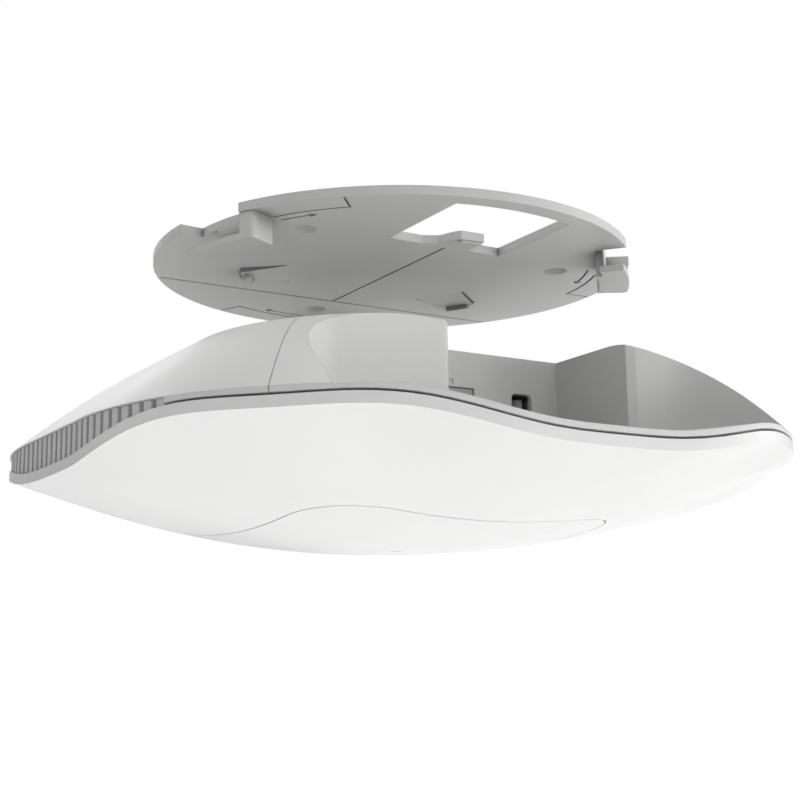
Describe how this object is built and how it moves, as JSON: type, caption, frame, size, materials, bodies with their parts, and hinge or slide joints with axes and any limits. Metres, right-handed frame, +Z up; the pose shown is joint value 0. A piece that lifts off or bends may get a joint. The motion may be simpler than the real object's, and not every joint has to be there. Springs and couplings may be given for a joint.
{
  "type": "ceiling access point",
  "caption": "Low ceiling-mounted wireless unit with a waved rounded-square front, louvred sides and an open cable bay, hanging below its round twist-lock ceiling plate",
  "frame": {"origin": "centre of the ceiling-side face of the mounting plate", "axes": "+Z up to the ceiling, -Y towards the cable bay, +X to the right seen from the bay side"},
  "size_m": [0.165, 0.165, 0.069],
  "materials": {
    "plate": "fine moulded texture",
    "rear": "fine moulded texture",
    "front": "smooth satin white",
    "vent": "matt ribs",
    "board": "solder mask",
    "metal": "bare die-cast",
    "tin": "tin-plated sheet",
    "gold": "gold-plated",
    "black": "moulded black",
    "socket": "moulded grey",
    "pad": "soft silicone",
    "bumper": "soft rubber",
    "screw": "zinc plated",
    "button": "matt",
    "clear": "clear moulded"
  },
  "bodies": {
    "plate": {"ceiling_plate": "plate"},
    "bumper": {"centre_bumper": "bumper"},
    "rivet": {"bumper_rivet": "screw"},
    "unit": {"rear_cover": "rear", "bay_cover": "rear", "bottom_cover": "front", "front_panel": "front", "vent_grille_left": "vent", "vent_grille_right": "vent", "vent_grille_back": "vent", "main_board": "board", "heat_sink": "metal", "processor_shield": "tin", "radio_shield": "tin", "thermal_pads": "pad", "processor": "black", "radio_chips": "black", "memory_chips": "black", "power_transformer": "black", "capacitors": "metal", "line_transformer": "black", "ethernet_jack": "socket", "jack_contacts": "gold", "service_port": "tin", "port_tongue": "socket", "port_contacts": "gold", "reset_switch": "black", "antenna_board": "board", "board_connector": "black", "short_antennas": "gold", "long_antennas": "gold", "status_led": "clear", "light_pipe": "clear", "cover_screws": "screw", "board_screws": "screw", "antenna_screws": "screw"},
    "reset_button": {"reset_button": "button"}
  },
  "joints": [
    {"name": "lift", "type": "slide", "parent": "plate", "child": "bumper", "axis": [0, 0, 1], "range_m": [0, 0.0237]},
    {"name": "approach_turn", "type": "hinge", "parent": "bumper", "child": "rivet", "pos_m": [0, 0, -0.0263], "axis": [0, 0, 1], "range_deg": [-15, 0]},
    {"name": "lock_turn", "type": "hinge", "parent": "rivet", "child": "unit", "pos_m": [0, 0, -0.0263], "axis": [0, 0, 1], "range_deg": [0, 15]},
    {"name": "reset_press", "type": "slide", "parent": "unit", "child": "reset_button", "axis": [0, 1, 0], "range_m": [0, 0.0005], "stiffness_N_per_m": 600, "springref_m": -0.0005}
  ],
  "couplings": [
    {"joint": "approach_turn", "follows": "lift", "rad_per_m": -11.045}
  ]
}
